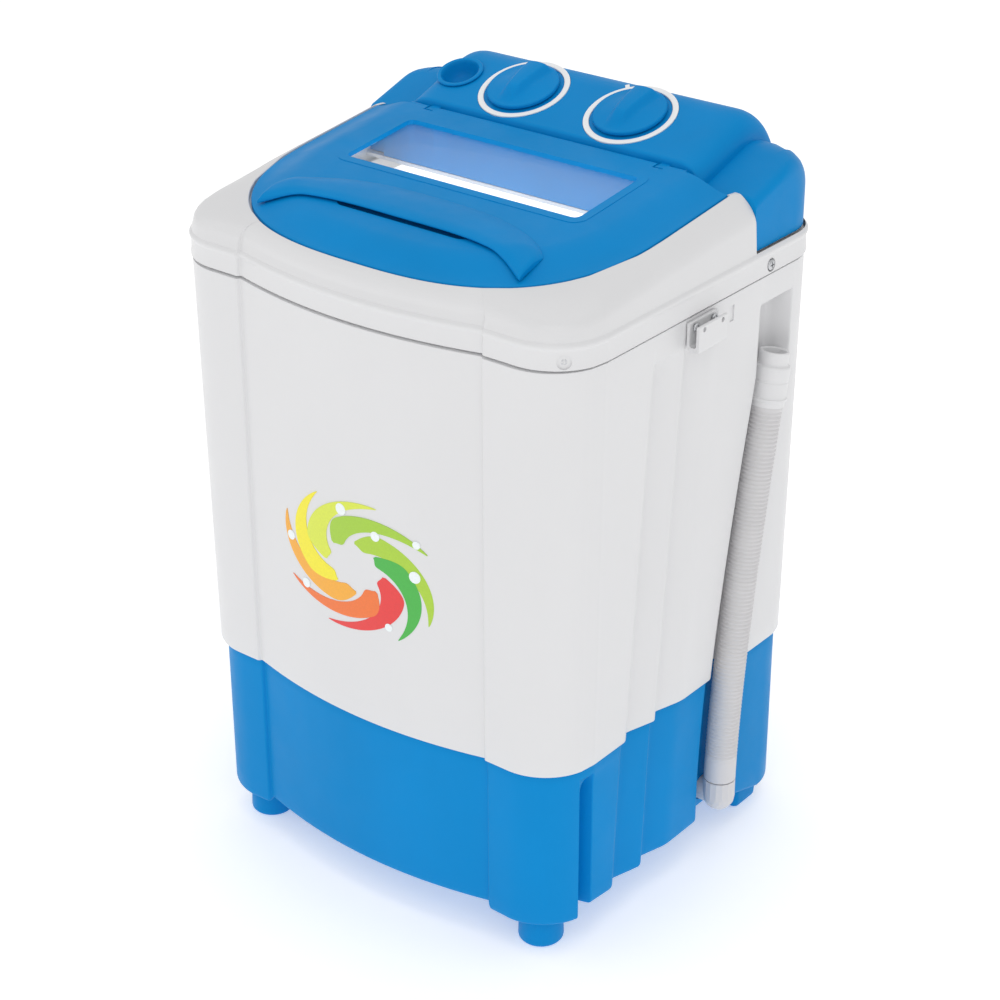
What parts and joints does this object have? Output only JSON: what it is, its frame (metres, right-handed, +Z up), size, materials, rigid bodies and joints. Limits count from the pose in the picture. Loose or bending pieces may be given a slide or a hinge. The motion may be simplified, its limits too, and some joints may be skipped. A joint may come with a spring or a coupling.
{
  "type": "portable mini washer",
  "caption": "Portable top-loading mini washer with a windowed lid, sloping console with two knobs, pulsator tub and side drain hose.",
  "frame": {"origin": "centre of the overall footprint, on the floor under the feet", "axes": "+Z up; the bowed front with the lid handle faces -Y; the side with the drain hose faces +X"},
  "size_m": [0.371, 0.323, 0.5789],
  "materials": {
    "white_plastic": "moulded white ABS, semi-gloss",
    "blue_plastic": "moulded blue ABS, semi-gloss",
    "ring_white": "printed white ring",
    "clear_plastic": "clear polystyrene",
    "hose_plastic": "light grey polyethylene",
    "steel": "plated steel",
    "motor_paint": "dark painted steel can",
    "rubber": "black rubber",
    "grey_plastic": "grey engineering plastic",
    "brass": "sintered bush",
    "decal_print": "printed vinyl film"
  },
  "bodies": {
    "cabinet": {"cabinet_shell": "white_plastic", "top_collar": "white_plastic", "wash_tub": "white_plastic", "hose_hook": "white_plastic", "drain_sump": "white_plastic", "drain_strainer": "white_plastic", "base_housing": "blue_plastic", "base_pan": "blue_plastic", "foot_front_right": "blue_plastic", "foot_front_left": "blue_plastic", "foot_rear_right": "blue_plastic", "foot_rear_left": "blue_plastic", "console_shell": "blue_plastic", "inlet_cup": "blue_plastic", "timer_ring": "ring_white", "selector_ring": "ring_white", "drain_hose": "hose_plastic", "hose_cuff": "hose_plastic", "inner_drain_hose": "hose_plastic", "outlet_elbow": "hose_plastic", "collar_screw_front_right": "steel", "collar_screw_front_left": "steel", "collar_screw_side_right": "steel", "collar_screw_side_left": "steel", "hook_screw_1": "steel", "hook_screw_2": "steel", "hinge_pin_right": "steel", "hinge_pin_left": "steel", "motor_bracket": "steel", "capacitor_clip": "steel", "motor_body": "motor_paint", "shaft_seal": "rubber", "drive_belt": "rubber", "motor_mount_1": "rubber", "motor_mount_2": "rubber", "motor_mount_3": "rubber", "cord_gland": "rubber", "timer_body": "grey_plastic", "selector_body": "grey_plastic", "bearing_housing": "grey_plastic", "capacitor": "grey_plastic", "upper_bush": "brass", "lower_bush": "brass", "front_decal": "decal_print"},
    "lid": {"lid_panel": "blue_plastic", "lid_window": "clear_plastic", "lid_handle": "blue_plastic"},
    "timer_dial": {"timer_knob": "blue_plastic", "timer_shaft": "steel"},
    "selector_dial": {"selector_knob": "blue_plastic", "selector_shaft": "steel"},
    "agitator": {"pulsator": "blue_plastic", "pulsator_screw": "steel", "drive_shaft": "steel", "driven_pulley": "grey_plastic"},
    "motor_rotor": {"motor_shaft": "steel", "motor_pulley": "steel", "motor_fan": "grey_plastic"}
  },
  "joints": [
    {"name": "lid_hinge", "type": "hinge", "parent": "cabinet", "child": "lid", "pos_m": [-0.0045, 0.06, 0.5402], "axis": [-1, 0, 0], "range_deg": [0, 100]},
    {"name": "timer_turn", "type": "hinge", "parent": "cabinet", "child": "timer_dial", "pos_m": [-0.0531, 0.0993, 0.55943], "axis": [0, 0.3362, -0.9418], "range_deg": [0, 300]},
    {"name": "selector_turn", "type": "hinge", "parent": "cabinet", "child": "selector_dial", "pos_m": [0.0441, 0.0993, 0.55943], "axis": [0, 0.3362, -0.9418], "range_deg": [-60, 60]},
    {"name": "pulsator_spin", "type": "hinge", "parent": "cabinet", "child": "agitator", "pos_m": [-0.0045, -0.007, 0.19], "axis": [0, 0, 1], "continuous": true},
    {"name": "motor_spin", "type": "hinge", "parent": "cabinet", "child": "motor_rotor", "pos_m": [-0.0845, 0.07, 0.1], "axis": [0, 0, 1], "continuous": true}
  ],
  "couplings": [
    {"joint": "motor_spin", "follows": "pulsator_spin", "ratio": 4.93}
  ]
}
